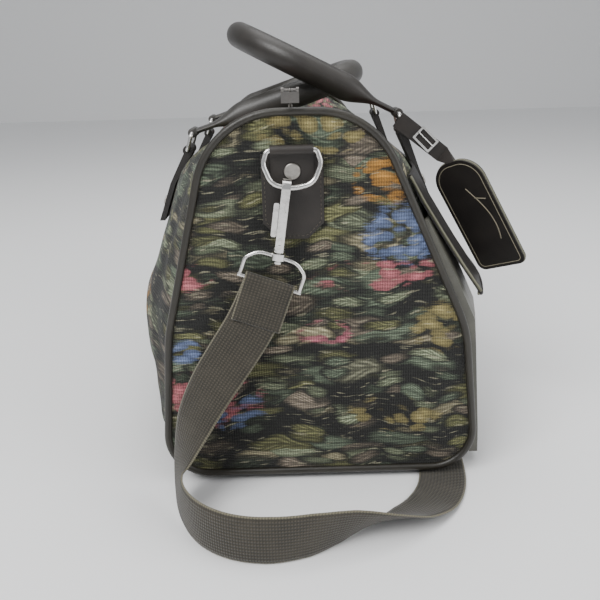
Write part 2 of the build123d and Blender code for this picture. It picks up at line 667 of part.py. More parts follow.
# ---- shoulder strap -----------------------------------------------------------------------------------
# Each point: middle of the webbing, then the direction across it. The near strap hangs from the near bail,
# stands on its edge round the floor before the bag, turns over and runs flat under the base to the adjuster.
near_strap_points = [
    ((-36.5, -238.2, 175.2), (0.94, 0.0, -0.34)),
    ((-48.0, -240.0, 149.0), (0.90, -0.05, -0.44)),
    ((-66.0, -243.0, 122.0), (0.86, -0.20, -0.46)),
    ((-84.0, -246.0, 96.0), (0.80, -0.45, -0.40)),
    ((-99.0, -249.5, 69.0), (0.68, -0.68, -0.25)),
    ((-108.5, -256.0, 42.0), (0.52, -0.78, 0.34)),
    ((-111.0, -268.0, 25.5), (0.26, -0.40, 0.88)),
    ((-105.0, -290.0, 20.6), (0.06, -0.10, 0.99)),
    ((-90.0, -312.0, 20.0), (0.0, 0.0, 1.0)),
    ((-67.0, -327.0, 19.9), (0.0, 0.0, 1.0)),
    ((-40.0, -332.0, 19.9), (0.0, 0.0, 1.0)),
    ((-12.0, -327.5, 19.8), (0.04, -0.10, 0.99)),
    ((15.0, -316.0, 18.6), (0.16, -0.36, 0.92)),
    ((41.0, -303.0, 14.4), (0.40, -0.66, 0.64)),
    ((66.0, -288.0, 7.8), (0.66, -0.70, 0.27)),
    ((86.0, -268.0, 3.0), (0.84, -0.53, 0.06)),
    ((98.0, -243.0, 1.6), (0.97, -0.24, 0.0)),
    ((103.0, -213.0, 1.6), (0.995, -0.10, 0.0)),
    ((105.5, -160.0, 1.6), (0.999, -0.04, 0.0)),
    ((107.0, -100.0, 1.6), (0.999, -0.02, 0.0)),
    ((107.6, -40.0, 1.6), (1.0, 0.0, 0.0)),
    ((107.4, 20.0, 1.6), (1.0, 0.0, 0.0)),
    ((107.8, 80.0, 1.6), (1.0, 0.0, 0.0)),
    ((108.8, 140.0, 1.6), (1.0, 0.0, 0.0)),
    ((109.0, 196.0, 1.6), (1.0, 0.03, 0.0)),
    ((106.5, 238.0, 1.6), (0.99, 0.14, 0.0)),
    ((99.0, 271.0, 1.6), (0.87, 0.50, 0.0)),
    ((83.5, 297.0, 1.6), (0.60, 0.80, 0.0)),
    ((60.0, 312.6, 1.6), (0.05, 1.0, 0.0)),
    ((43.4, 313.4, 1.6), (0.05, 1.0, 0.0)),
]
far_strap_points = [
    ((20.6, 313.4, 1.6), (-0.05, 1.0, 0.0)),
    ((6.0, 312.6, 1.6), (-0.05, 1.0, 0.0)),
    ((-6.5, 302.5, 1.6), (-0.74, 0.67, 0.0)),
    ((-13.0, 286.0, 2.6), (-0.92, 0.38, 0.05)),
    ((-17.5, 268.0, 9.0), (-0.96, 0.24, 0.10)),
    ((-21.5, 254.0, 26.0), (-0.97, 0.10, 0.17)),
    ((-26.0, 246.0, 56.0), (-0.96, 0.02, 0.22)),
    ((-30.0, 241.5, 92.0), (-0.95, 0.0, 0.28)),
    ((-34.0, 239.5, 130.0), (-0.94, 0.0, 0.33)),
    ((-36.5, 238.2, 175.2), (-0.94, 0.0, 0.34)),
]
arc_share = 0.45
drawn_half = 225.0        # the half length that these points are drawn for


def spread(route):
    """The route with its y moved out or in with the ends of the bag."""
    moved = []
    for (x, y, z), across in route:
        moved.append(((x, y + (half - drawn_half) * max(-1.0, min(1.0, y / 200)), z), across))
    return moved


def route_radii(points):
    """Radius of the arc at each inner point: 0.45 of the shorter run over the tangent of half the turn."""
    radii = []
    for a, b, c in zip(points, points[1:], points[2:]):
        u, v = Vector(*b) - Vector(*a), Vector(*c) - Vector(*b)
        radii.append(arc_share * min(u.length, v.length) / math.tan(math.radians(u.get_angle(v)) / 2))
    return radii


def webbing(name, route):
    """Flat band along a route of straight runs and arcs, turning over as its width direction turns."""
    points = [p for p, w in route]
    radii = route_radii(points)
    path = Wire(FilletPolyline(*points, radius=radii).edges())
    runs = [0.0]
    for a, b in zip(points, points[1:]):
        runs.append(runs[-1] + (Vector(*b) - Vector(*a)).length)
    shares = [r / runs[-1] for r in runs]
    steps = 2 * (len(points) - 1)
    sections = []
    for i in range(steps + 1):
        t = i / steps
        k = max(j for j in range(len(shares) - 1) if shares[j] <= t)
        blend = (t - shares[k]) / (shares[k + 1] - shares[k])
        across = Vector(*route[k][1]) * (1 - blend) + Vector(*route[k + 1][1]) * blend
        along = path % t
        middle = path @ t
        across = (across - along * across.dot(along)).normalized()
        plane = Plane(middle, x_dir=across, z_dir=along)
        sections.append(plane * Rectangle(webbing_width, webbing_thick))
    band = loft(sections, ruled=True)
    ideal = webbing_width * webbing_thick * path.length
    print(name, "length", round(path.length, 1), "volume share", round(band.volume / ideal, 3),
          "least radius", round(min(radii), 1))
    print("  radii", [round(r) for r in radii])
    return band


hem_in = bail_wire / 2 + fold_clear
hem = bail_frame(Pos(0, 0, -bar_drop) * Rot(Y=90) * Cylinder(hem_in + webbing_thick, webbing_width))
bore = bail_frame(Pos(0, 0, -bar_drop) * Rot(Y=90) * Cylinder(hem_in, webbing_width + 6))
save("shoulder_strap", webbing("shoulder_strap", spread(near_strap_points)) + hem - bore)
save("strap_tail", webbing("strap_tail", spread(far_strap_points)) + place_end(hem, 1) - place_end(bore, 1))

# Ladder adjuster that joins the two lengths of webbing on the floor behind the bag.
adjuster_x = 32.0
adjuster_y = 88.4 + half
adjuster = Box(20.0, webbing_width + 9, 3.0)
for s in (-1, 1):
    adjuster = adjuster - Pos(s * 4.8, 0, 0) * Box(6.4, webbing_width + 2, 4)
save("strap_adjuster", Pos(adjuster_x, adjuster_y, 1.9) * adjuster)
print("zip centre z", round(zip_centre_z, 2), "radius", round(zip_radius, 2), "slider z", round(slider_z, 2))
print("d-ring bar y", round(d_bar_y, 2), "wire low", [round(v, 2) for v in wire_low])
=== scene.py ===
import math

import bmesh
import bpy
import numpy as np
from mathutils import Matrix, Vector


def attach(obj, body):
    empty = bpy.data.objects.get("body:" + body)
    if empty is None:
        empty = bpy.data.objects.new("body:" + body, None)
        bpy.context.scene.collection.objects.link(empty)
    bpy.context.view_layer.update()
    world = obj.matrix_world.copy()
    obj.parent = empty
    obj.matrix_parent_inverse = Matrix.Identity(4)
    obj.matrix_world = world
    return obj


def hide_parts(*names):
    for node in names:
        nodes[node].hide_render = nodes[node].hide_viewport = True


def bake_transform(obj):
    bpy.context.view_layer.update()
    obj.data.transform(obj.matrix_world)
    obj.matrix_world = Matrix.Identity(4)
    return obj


# A tapestry carpet bag. Metres. +Y runs along the bag, the near end is at -Y and the front with its pocket
# is +X. The CAD parts give every place and size, and what is built here covers the soft ones.

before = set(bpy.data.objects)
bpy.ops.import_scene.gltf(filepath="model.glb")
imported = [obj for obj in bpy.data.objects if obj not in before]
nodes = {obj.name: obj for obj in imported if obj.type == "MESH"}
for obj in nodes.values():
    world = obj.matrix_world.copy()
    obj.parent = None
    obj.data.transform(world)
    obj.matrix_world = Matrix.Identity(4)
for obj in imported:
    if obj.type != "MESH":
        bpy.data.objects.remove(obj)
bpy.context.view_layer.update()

MIDDLE = 0.01145              # the CAD drawing's own x is this much more than the row frame's


def at(x, y, z):
    """A drawn point in mm as a point in the row frame in metres."""
    return (x / 1000 - MIDDLE, y / 1000, z / 1000)


# ---- camera -------------------------------------------------------------------------------------------
pitch = math.radians(18.8)
roll = math.radians(1.6)
forward = Vector((0, math.cos(pitch), -math.sin(pitch)))
right = Vector((1, 0, 0))
up = right.cross(forward)
right_turned = right * math.cos(roll) - up * math.sin(roll)
up_turned = right * math.sin(roll) + up * math.cos(roll)
camera_data = bpy.data.cameras.new("camera")
camera_data.lens = 42.0
camera_data.sensor_width = 36.0
camera = bpy.data.objects.new("camera", camera_data)
bpy.context.scene.collection.objects.link(camera)
turn = Matrix((right_turned, up_turned, -forward)).transposed()
camera.matrix_world = Matrix.Translation(at(-14, -732, 330)) @ turn.to_4x4()
bpy.context.scene.camera = camera


# ---- shader expressions -------------------------------------------------------------------------------
class Sig:
    """A shader socket that adds, multiplies and compares as an expression of Math nodes."""

    def __init__(self, tree, socket):
        self.tree, self.socket = tree, socket

    def feed(self, socket, value):
        """Links value into socket, or sets it if it is a constant."""
        if isinstance(value, Sig):
            self.tree.links.new(value.socket, socket)
        else:
            socket.default_value = value

    def node(self, kind, settings=None, values=None, out=0):
        """Any other node: its type, its settings, its sockets by name or place, and the output wanted."""
        n = self.tree.nodes.new(kind)
        for key, value in (settings or {}).items():
            setattr(n, key, value)
        for key, value in (values or {}).items():
            self.feed(n.inputs[key], value)
        return Sig(self.tree, n.outputs[out])

    def math(self, operation, *others, clamp=False):
        values = {0: self}
        values.update({i + 1: o for i, o in enumerate(others)})
        return self.node("ShaderNodeMath", {"operation": operation, "use_clamp": clamp}, values)

    def __add__(self, o):
        return self.math("ADD", o)

    def __sub__(self, o):
        return self.math("SUBTRACT", o)

    def __mul__(self, o):
        return self.math("MULTIPLY", o)

    def __truediv__(self, o):
        return self.math("DIVIDE", o)

    __radd__ = __add__
    __rmul__ = __mul__

    def __rsub__(self, o):
        return (self * -1.0) + o

    def sin(self):
        return self.math("SINE")

    def ramp(self, low, high):
        """0 below low, 1 above high, smooth between. high may be the smaller."""
        values = {"Value": self, "From Min": min(low, high), "From Max": max(low, high)}
        rise = self.node("ShaderNodeMapRange", {"interpolation_type": "SMOOTHSTEP"}, values)
        return rise if low < high else 1.0 - rise

    def mix(self, a, b):
        """Colour a where this is 0 and colour b where it is 1."""
        n = self.tree.nodes.new("ShaderNodeMix")
        n.data_type = "RGBA"
        self.feed(n.inputs[0], self)
        self.feed(n.inputs[6], a)
        self.feed(n.inputs[7], b)
        return Sig(self.tree, n.outputs[2])

    def split(self):
        """The three parts of a vector."""
        n = self.tree.nodes.new("ShaderNodeSeparateXYZ")
        self.tree.links.new(self.socket, n.inputs[0])
        return [Sig(self.tree, n.outputs[i]) for i in range(3)]

    def join(self, y, z=0.0):
        return self.node("ShaderNodeCombineXYZ", None, {0: self, 1: y, 2: z})


def colour(r, g, b):
    return (r, g, b, 1.0)


def material(name, **values):
    """A new material, and its shader, tree and object coordinates. values are the shader's own constants."""
    m = bpy.data.materials.new(name)
    m.use_nodes = True
    shader = m.node_tree.nodes["Principled BSDF"]
    for key, value in values.items():
        shader.inputs[key.replace("_", " ")].default_value = value
    coords = m.node_tree.nodes.new("ShaderNodeTexCoord")
    return m, shader, m.node_tree, Sig(m.node_tree, coords.outputs["Object"])


def uv_of(tree):
    n = tree.nodes.new("ShaderNodeUVMap")
    n.uv_map = "cloth"
    return Sig(tree, n.outputs[0])


def noise(p, scale, detail=3.0, rough=0.5, distort=0.0):
    values = {"Vector": p, "Scale": scale, "Detail": detail, "Roughness": rough, "Distortion": distort}
    return p.node("ShaderNodeTexNoise", None, values)


def bump_into(shader, height, strength, distance):
    values = {"Height": height, "Strength": strength, "Distance": distance}
    normal = height.node("ShaderNodeBump", None, values)
    normal.feed(shader.inputs["Normal"], normal)


def leather(name, base, light, rough, grain=900.0, coat=0.0, wear=0.35):
    """Grained leather: darker in the grain, lighter where it is worn."""
    m, shader, _, p = material(name, Coat_Weight=coat, Coat_Roughness=0.3)
    patches = noise(p, 35.0, 4.0, 0.6)
    fine = noise(p, grain, 3.0, 0.6)
    tone = patches.ramp(0.35, 0.75) * wear + fine * 0.25
    tone.feed(shader.inputs["Base Color"], tone.mix(base, light))
    rough_out = fine * 0.25 + (rough - 0.1)
    tone.feed(shader.inputs["Roughness"], rough_out)
    bump_into(shader, fine + patches * 0.4, 0.35, 0.0004)
    return m


def metal(name, base, rough, tarnish=0.15):
    """Plated metal with faint tarnish."""
    m, shader, _, p = material(name, Metallic=1.0)
    spots = noise(p, 260.0, 4.0, 0.6).ramp(0.4, 0.8)
    dark = colour(base[0] * 0.45, base[1] * 0.42, base[2] * 0.38)
    spots.feed(shader.inputs["Base Color"], (spots * tarnish * 2).mix(base, dark))
    spots.feed(shader.inputs["Roughness"], spots * 0.2 + rough)
    return m


# ---- tapestry -----------------------------------------------------------------------------------------
SAGE, OLIVE = colour(0.19, 0.215, 0.135), colour(0.125, 0.125, 0.055)
KHAKI, TAUPE = colour(0.29, 0.26, 0.16), colour(0.17, 0.14, 0.105)
MOSS, BLACK = colour(0.10, 0.125, 0.085), colour(0.010, 0.010, 0.009)
RIB_STEP, ROW_STEP = 0.0019, 0.0028

# Layers of leaves: cells in a metre along and up, a shift that keeps the layers apart, and the leaf's size.
LEAF_LAYERS = ((24.0, 66.0, 5.3, 0.52), (17.0, 50.0, 2.3, 0.44), (32.0, 96.0, 9.1, 0.38))


def tapestry(name, fields):
    """Black ground under layers of long veined leaves, fields of accent colour, and the ribs of the weave.

    fields are ellipses on the cloth: middle and half sizes in metres, and a colour. A leaf is a cell of a
    stretched cell pattern: its mask is the distance to the cell's middle, and its veins are fine stripes that
    lean one way above the middle and the other way below.
    """
    m, shader, tree = material(name, Roughness=0.95)[:3]
    shader.inputs["Sheen Weight"].default_value = 0.06
    uv = uv_of(tree)
    u, v = uv.split()[:2]
    drift = noise(uv, 11.0, 2.0, 0.5)
    drift_v = noise((u + 3.7).join(v), 16.0, 2.0, 0.5)
    uu = u + (drift - 0.5) * 0.045
    vv = v + (drift_v - 0.5) * 0.030
    ragged = noise((u * 90.0).join(v * 700.0), 1.0, 3.0, 0.7)

    def leaves(scale_u, scale_v, shift, size):
        """Mask of long leaves, the random numbers of each leaf's cell, and the veins in it."""
        q = (uu * scale_u + shift).join(vv * scale_v + shift * 0.6)
        cells = tree.nodes.new("ShaderNodeTexVoronoi")
        cells.feature = "F1"
        tree.links.new(q.socket, cells.inputs["Vector"])
        cells.inputs["Scale"].default_value = 1.0
        cells.inputs["Randomness"].default_value = 0.95
        far = Sig(tree, cells.outputs["Distance"])
        tint = Sig(tree, cells.outputs["Color"]).split()
        middle = Sig(tree, cells.outputs["Position"]).split()
        above = (vv * scale_v + shift * 0.6) - middle[1]
        lean = above.math("ABSOLUTE") * (0.9 + tint[2] * 1.5)
        veins = ((uu * scale_u + lean) * 30.0).sin() * 0.5 + 0.5
        mask = (far + (ragged - 0.5) * 0.30).ramp(size + 0.07, size - 0.07)
        rib = above.math("ABSOLUTE").ramp(0.03, 0.09)
        return mask, tint, veins * 0.62 * rib + 0.42, far

    def tinted(tint):
        tone = tint[0].ramp(0.22, 0.25).mix(MOSS, OLIVE)
        tone = tint[0].ramp(0.42, 0.45).mix(tone, SAGE)
        tone = tint[0].ramp(0.64, 0.67).mix(tone, TAUPE)
        return tint[0].ramp(0.83, 0.86).mix(tone, KHAKI)

    def shaded(tone, light):
        """The tone times a grey light."""
        n = tree.nodes.new("ShaderNodeMix")
        n.data_type = "RGBA"
        n.blend_type = "MULTIPLY"
        n.inputs[0].default_value = 1.0
        light.feed(n.inputs[6], tone)
        light.feed(n.inputs[7], light.node("ShaderNodeCombineColor", None, {0: light, 1: light, 2: light}))
        return Sig(tree, n.outputs[2])

    cloth = BLACK
    height = ragged * 0.2
    for scale_u, scale_v, shift, size in LEAF_LAYERS:
        mask, tint, veins, far = leaves(scale_u, scale_v, shift, size)
        rim = far.ramp(size - 0.02, size - 0.16) * 0.55 + 0.45
        tone = shaded(tinted(tint), veins * rim * (0.7 + tint[1] * 0.9))
        cover = far.ramp(size + 0.16, size + 0.04) * 0.85
        cloth = cover.mix(cloth, BLACK)
        cloth = mask.mix(cloth, tone)
        height = height + mask * veins * 0.4
    for x, z, half_x, half_z, tint in fields:
        dx = (uu - x) * (1.0 / half_x)
        dz = (vv - z) * (1.0 / half_z)
        inside = (dx * dx + dz * dz).math("SQRT")
        near = (inside + (ragged - 0.5) * 0.9).ramp(1.05, 0.75)
        q = (uu * 62.0 + x * 90).join(vv * 120.0)
        values = {"Vector": q, "Scale": 1.0, "Randomness": 1.0}
        cells = q.node("ShaderNodeTexVoronoi", {"feature": "F1"}, values)
        petals = (cells + (ragged - 0.5) * 0.3).ramp(0.64, 0.50)
        glow = cells.ramp(0.5, 0.0) * 0.6 + 0.5
        cloth = (near * petals * 0.92).mix(cloth, shaded(tint, glow))
    cream = noise((uu * 60.0 + 4.0).join(vv * 420.0 + 9.0), 1.0, 2.0, 0.5).ramp(0.62, 0.68)
    cloth = (cream * 0.42).mix(cloth, colour(0.36, 0.34, 0.23))
    ribs = (u * (2 * math.pi / RIB_STEP)).sin() * 0.5 + 0.5
    rows = (v * (2 * math.pi / ROW_STEP) + (u * 300.0).sin() * 0.5).sin() * 0.5 + 0.5
    fuzz = noise((u * 900.0).join(v * 1500.0), 1.0, 2.0, 0.6)
    light = ribs * 0.40 + rows * 0.46 + fuzz * 1.1 + 0.08
    out = shaded(cloth, light)
    out.feed(shader.inputs["Base Color"], out)
    bump_into(shader, ribs * 0.5 + rows * 0.5 + fuzz * 0.8 + height, 0.9, 0.0008)
    return m


ORANGE, BLUE = colour(0.48, 0.23, 0.045), colour(0.15, 0.20, 0.36)
PINK, ROSE = colour(0.50, 0.15, 0.17), colour(0.44, 0.13, 0.17)
GOLD = colour(0.30, 0.25, 0.10)


def field(x, z, half_x, half_z, tint):
    """A colour field on the near end, its middle and half sizes in mm as drawn."""
    return (x / 1000 - MIDDLE, z / 1000, half_x / 1000, half_z / 1000, tint)


near_fields = [field(50, 246, 24, 19, ORANGE), field(66, 206, 36, 24, BLUE), field(49, 175, 52, 12, PINK),
               field(-104, 178, 26, 11, PINK), field(7, 131, 26, 11, ROSE), field(-86, 76, 42, 22, PINK),
               field(-61, 64, 19, 17, BLUE), field(-109, 113, 12, 13, BLUE), field(0, 282, 46, 14, GOLD),
               field(60, 60, 40, 14, GOLD), field(90, 130, 22, 20, GOLD)]
end_cloth = tapestry("tapestry_end", near_fields)
side_cloth = tapestry("tapestry_side", [(-0.12, 0.27, 0.05, 0.02, ROSE), (0.05, 0.22, 0.06, 0.02, GOLD),
                                        (-0.17, 0.12, 0.05, 0.02, BLUE), (0.15, 0.30, 0.05, 0.018, PINK),
                                        (-0.05, 0.10, 0.06, 0.02, ROSE), (0.12, 0.12, 0.05, 0.02, ORANGE)])


# ---- surfaces -----------------------------------------------------------------------------------------
def wobble(a, b, seed):
    """Smooth random height over two numbers in metres: a sum of sines of rising pitch and random phase."""
    rng = np.random.default_rng(seed)
    total = np.zeros(np.broadcast(a, b).shape)
    for k in range(14):
        pitch_m = 0.22 / (1 + 0.45 * k)
        heading = rng.uniform(0, 2 * math.pi)
        phase = rng.uniform(0, 2 * math.pi)
        wave = (a * math.cos(heading) + b * math.sin(heading)) * 2 * math.pi / pitch_m + phase
        total += np.sin(wave) / (1 + 0.5 * k)
    return total / 2.6


def mesh_grid(name, points, uv, mat, smooth=True, wrap_u=False, caps=False):
    """A mesh from a grid of points, with its "cloth" map from a grid of as many rows and columns."""
    rows, cols = points.shape[:2]
    index = np.arange(rows * cols).reshape(rows, cols)
    if wrap_u:
        index = np.concatenate([index, index[:, :1]], axis=1)
    quads = np.stack([index[:-1, :-1], index[:-1, 1:], index[1:, 1:], index[1:, :-1]], axis=-1).reshape(-1, 4)
    faces = [tuple(int(i) for i in q) for q in quads]
    if caps:
        faces.append(tuple(int(i) for i in index[0, :cols][::-1]))
        faces.append(tuple(int(i) for i in index[-1, :cols]))
    mesh = bpy.data.meshes.new(name)
    mesh.from_pydata(points.reshape(-1, 3).tolist(), [], faces)
    layer = mesh.uv_layers.new(name="cloth")
    loops = np.zeros(len(mesh.loops), np.int32)
    mesh.loops.foreach_get("vertex_index", loops)
    layer.data.foreach_set("uv", uv.reshape(-1, 2)[loops].astype(np.float32).ravel())
    mesh.polygons.foreach_set("use_smooth", [smooth] * len(mesh.polygons))
    mesh.materials.append(mat)
    o = bpy.data.objects.new(name, mesh)
    bpy.context.scene.collection.objects.link(o)
    return o


def thicken(o, thickness, offset=-1):
    """Turns a sheet into a closed thin solid. -1 keeps its outside where it is, and 0 grows it both ways."""
    m = o.modifiers.new("thick", "SOLIDIFY")
    m.thickness = thickness
    m.offset = offset
    return o


# The bag's own sizes in mm, as the CAD draws them.
TOP_X, TOP_Z, BASE_Z = -17.0, 300.0, 5.0
END_CORNERS = {-1: [(-77.0, TOP_Z), (-120.0, 130.0), (-131.0, BASE_Z)],
               1: [(43.0, TOP_Z), (118.0, 130.0), (131.0, BASE_Z)]}
BULGE = {-1: (31.0, 40.0, 16.0), 1: (31.0, 16.0, 5.0)}
RADII = (66.0, 110.0, 36.0)
INSET = 6.2                   # from the outline in to the cloth's edge beside the piping
END_INSET = 4.6               # and to the edge of the flat end
SIDE_END = 222.0
ZIP_HALF = 7.0
BASE_EDGE = 85.0
ZIP_RADIUS = 864.224
ZIP_CENTRE = 1128.224


def zip_z(y):
    return ZIP_CENTRE - np.sqrt(ZIP_RADIUS ** 2 - y ** 2)


def moved_in(points, distance, side):
    """Corners of an outline moved in by distance, each where its two moved edges cross."""
    pts = np.array(points, float)
    edge = np.diff(pts, axis=0)
    edge /= np.linalg.norm(edge, axis=1)[:, None]
    normal = np.stack([side * edge[:, 1], -side * edge[:, 0]], axis=1)
    start = pts[:-1] + normal * distance
    out = []
    for i in range(len(edge) - 1):
        a = np.array([edge[i], -edge[i + 1]]).T
        t = np.linalg.solve(a, start[i + 1] - start[i])[0]
        out.append(start[i] + edge[i] * t)
    return out


def rounded(points, radii, steps=14):
    """An open outline with an arc at each inner corner, as an array of points."""
    pts = [np.array(p, float) for p in points]
    out = [pts[0]]
    for i in range(1, len(pts) - 1):
        a = pts[i - 1] - pts[i]
        b = pts[i + 1] - pts[i]
        a /= np.linalg.norm(a)
        b /= np.linalg.norm(b)
        angle = math.acos(float(np.clip(a @ b, -1, 1)))
        r = radii[i - 1]
        reach = r / math.tan(angle / 2)
        middle = a + b
        centre = pts[i] + middle / np.linalg.norm(middle) * (r / math.sin(angle / 2))
        first = pts[i] + a * reach - centre
        last = pts[i] + b * reach - centre
        sweep = math.pi - angle
        for k in range(steps + 1):
            t = k / steps
            blend = (first * math.sin((1 - t) * sweep) + last * math.sin(t * sweep)) / math.sin(sweep)
            out.append(centre + blend)
    out.append(pts[-1])
    return np.array(out)


def evenly(line, count):
    """The line resampled at even steps, and the distance along it."""
    step = np.linalg.norm(np.diff(line, axis=0), axis=1)
    run = np.concatenate([[0], np.cumsum(step)])
    want = np.linspace(0, run[-1], count)
    return np.stack([np.interp(want, run, line[:, i]) for i in range(line.shape[1])], axis=1), want


def end_outline(side):
    """Half of an end's outline by its corners, from the middle of the crest to the middle of the base."""
    return [(TOP_X, TOP_Z)] + END_CORNERS[side] + [(0.0, BASE_Z)]


def section_corners(side, y):
    """How full the side wall is at y, and its corners there: the outline's, moved in and bulged."""
    f = 1 - min(1.0, abs(y) / SIDE_END) ** 4
    inner = moved_in(end_outline(side), INSET, side)
    return f, [(p[0] + side * (b + INSET) * f, p[1]) for p, b in zip(inner, BULGE[side])]


def side_outline(side, y):
    """The side wall's outline at y, from the zip down to the base."""
    f, pts = section_corners(side, y)
    top_z = float(zip_z(y))
    line = [(TOP_X + side * ZIP_HALF, top_z), (pts[0][0], top_z), pts[1], (pts[2][0], BASE_Z),
            (side * BASE_EDGE, BASE_Z)]
    return rounded(line, [r - INSET * (1 - f) for r in RADII])


def side_shell(side, name, replaced, seed):
    """One side of the bag: the sections' outlines side by side, with soft hollows, and creases at the ends.

    Hollows are a sum of sines in the length and the height. They fade to nothing at the zip, the base and the
    piping, so that the seams stay closed.
    """
    count_y, count_s = 190, 130
    ys = SIDE_END * np.sin(np.linspace(-math.pi / 2, math.pi / 2, count_y))
    grid = np.zeros((count_y, count_s, 3))
    uv = np.zeros((count_y, count_s, 2))
    for i, y in enumerate(ys):
        line, run = evenly(side_outline(side, float(y)), count_s)
        grid[i, :, 0] = line[:, 0]
        grid[i, :, 1] = y
        grid[i, :, 2] = line[:, 1]
        uv[i, :, 0] = side * y / 1000
        uv[i, :, 1] = (330 - run) / 1000
    along = np.gradient(grid, axis=0)
    down = np.gradient(grid, axis=1)
    normal = np.cross(down, along) * side
    normal /= np.linalg.norm(normal, axis=2)[:, :, None] + 1e-9
    if float(np.sum(normal[:, 60, 0]) * side) < 0:
        normal = -normal
    share = np.linspace(0, 1, count_s)[None, :]
    end = np.abs(ys[:, None]) / SIDE_END
    fade = np.clip(share / 0.12, 0, 1) * np.clip((1 - share) / 0.14, 0, 1) * np.clip((1 - end) / 0.10, 0, 1)
    a, b = grid[:, :, 1] / 1000, grid[:, :, 2] / 1000
    height = wobble(a, b, seed) * 2.4 - 0.8
    near_piping = np.exp(-((end - 0.86) / 0.10) ** 2)
    pulls = np.sin(a * 2 * math.pi / 0.045 + wobble(a, b, seed + 1) * 2.0) * near_piping
    height += pulls * 1.3
    if side > 0:
        covered = (b > 0.02) & (b < 0.252)
        height = np.where(covered, np.minimum(height, 0.1) - 0.3, np.minimum(height, 0.9))
    else:
        height = np.minimum(height, 0.9)
    grid += normal * (height * fade)[:, :, None]
    points = grid / 1000
    points[:, :, 0] -= MIDDLE
    if side < 0:
        points, uv = points[::-1], uv[::-1]
    o = thicken(mesh_grid(name, points, uv, side_cloth), 0.0022)
    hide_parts(replaced)
    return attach(o, "root")


def end_sheet(side, name, replaced, seed):
    """An end of the bag: rows across the rounded outline. Hollows and creases fade at the piping."""
    rim_top, rim_base = 295.4, 9.6
    outline = {}
    for s in (-1, 1):
        pts = moved_in(end_outline(s), END_INSET, s)
        line = [(TOP_X, rim_top)] + [tuple(p) for p in pts] + [(0.0, rim_base)]
        outline[s] = rounded(line, [r - END_INSET for r in RADII], 30)
    rows, cols = 150, 150
    bend = np.sin(np.linspace(-math.pi / 2, math.pi / 2, rows)) * 0.5 + 0.5
    zs = 9.65 + bend * (295.35 - 9.65)
    left = np.interp(zs, outline[-1][::-1, 1], outline[-1][::-1, 0])
    right_x = np.interp(zs, outline[1][::-1, 1], outline[1][::-1, 0])
    across = np.linspace(0, 1, cols)[None, :]
    x = left[:, None] + (right_x - left)[:, None] * across
    z = np.repeat(zs[:, None], cols, axis=1)
    rim = np.minimum.reduce([across * (right_x - left)[:, None], (1 - across) * (right_x - left)[:, None],
                             rim_top - z, z - rim_base]) / 24.0
    fade = np.clip(rim, 0, 1) ** 0.7
    a, b = x / 1000, z / 1000
    lump = 2.2 + wobble(a, b, seed) * 2.4
    creases = np.sin((a * 0.5 + b) * 2 * math.pi / 0.055 + wobble(a, b, seed + 5) * 2.2)
    lump += 1.5 * creases * np.clip((0.13 - b) / 0.08, 0, 1)
    off_x = np.maximum(np.abs(x - TOP_X) - 23, 0)
    off_z = np.maximum(np.abs(z - 237) - 32, 0)
    clear = np.clip(np.hypot(off_x, off_z) / 26, 0, 1)
    lump = np.minimum(lump, 6.0) * clear - 0.35 * (1 - clear)
    y = side * (224.6 + lump * fade)
    points = np.stack([x / 1000 - MIDDLE, y / 1000, z / 1000], axis=2)
    uv = np.stack([x / 1000 - MIDDLE if side < 0 else -(x / 1000 - MIDDLE) + 0.4, z / 1000], axis=2)
    if side > 0:
        points, uv = points[:, ::-1], uv[:, ::-1]
    o = thicken(mesh_grid(name, points, uv, end_cloth), 0.002)
    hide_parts(replaced)
    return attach(o, "root")


end_sheet(-1, "near_end_cloth", "near_end_panel", 3)
end_sheet(1, "far_end_cloth", "far_end_panel", 8)
side_shell(-1, "back_side_cloth", "back_side_panel", 11)
side_shell(1, "front_side_cloth", "front_side_panel", 21)


# ---- webbing ------------------------------------------------------------------------------------------
HALF_WEB = 0.019


def webbing_material(name):
    """Woven webbing: fine columns along its length, ribs across, and lighter picots at its two edges."""
    m, shader, tree = material(name, Roughness=0.85)[:3]
    shader.inputs["Sheen Weight"].default_value = 0.15
    uv = uv_of(tree)
    u, v = uv.split()[:2]
    columns = (v * (2 * math.pi / 0.0026)).sin() * 0.5 + 0.5
    ribs = (u * (2 * math.pi / 0.0021) + columns * 1.4).sin() * 0.5 + 0.5
    edge = (v - HALF_WEB).math("ABSOLUTE").ramp(0.0174, 0.0184)
    picots = edge * (0.5 + ribs * 0.5)
    grime = noise(uv, 40.0, 3.0, 0.6)
    base = grime.ramp(0.3, 0.8).mix(colour(0.018, 0.0155, 0.0105), colour(0.034, 0.029, 0.020))
    base = (columns * ribs * 0.75).mix(base, colour(0.082, 0.070, 0.049))
    base = picots.mix(base, colour(0.17, 0.155, 0.105))
    picots.feed(shader.inputs["Base Color"], base)
    bump_into(shader, columns * 0.5 + ribs * 0.5, 0.8, 0.0006)
    return m


webbing_cloth = webbing_material("webbing_cloth")

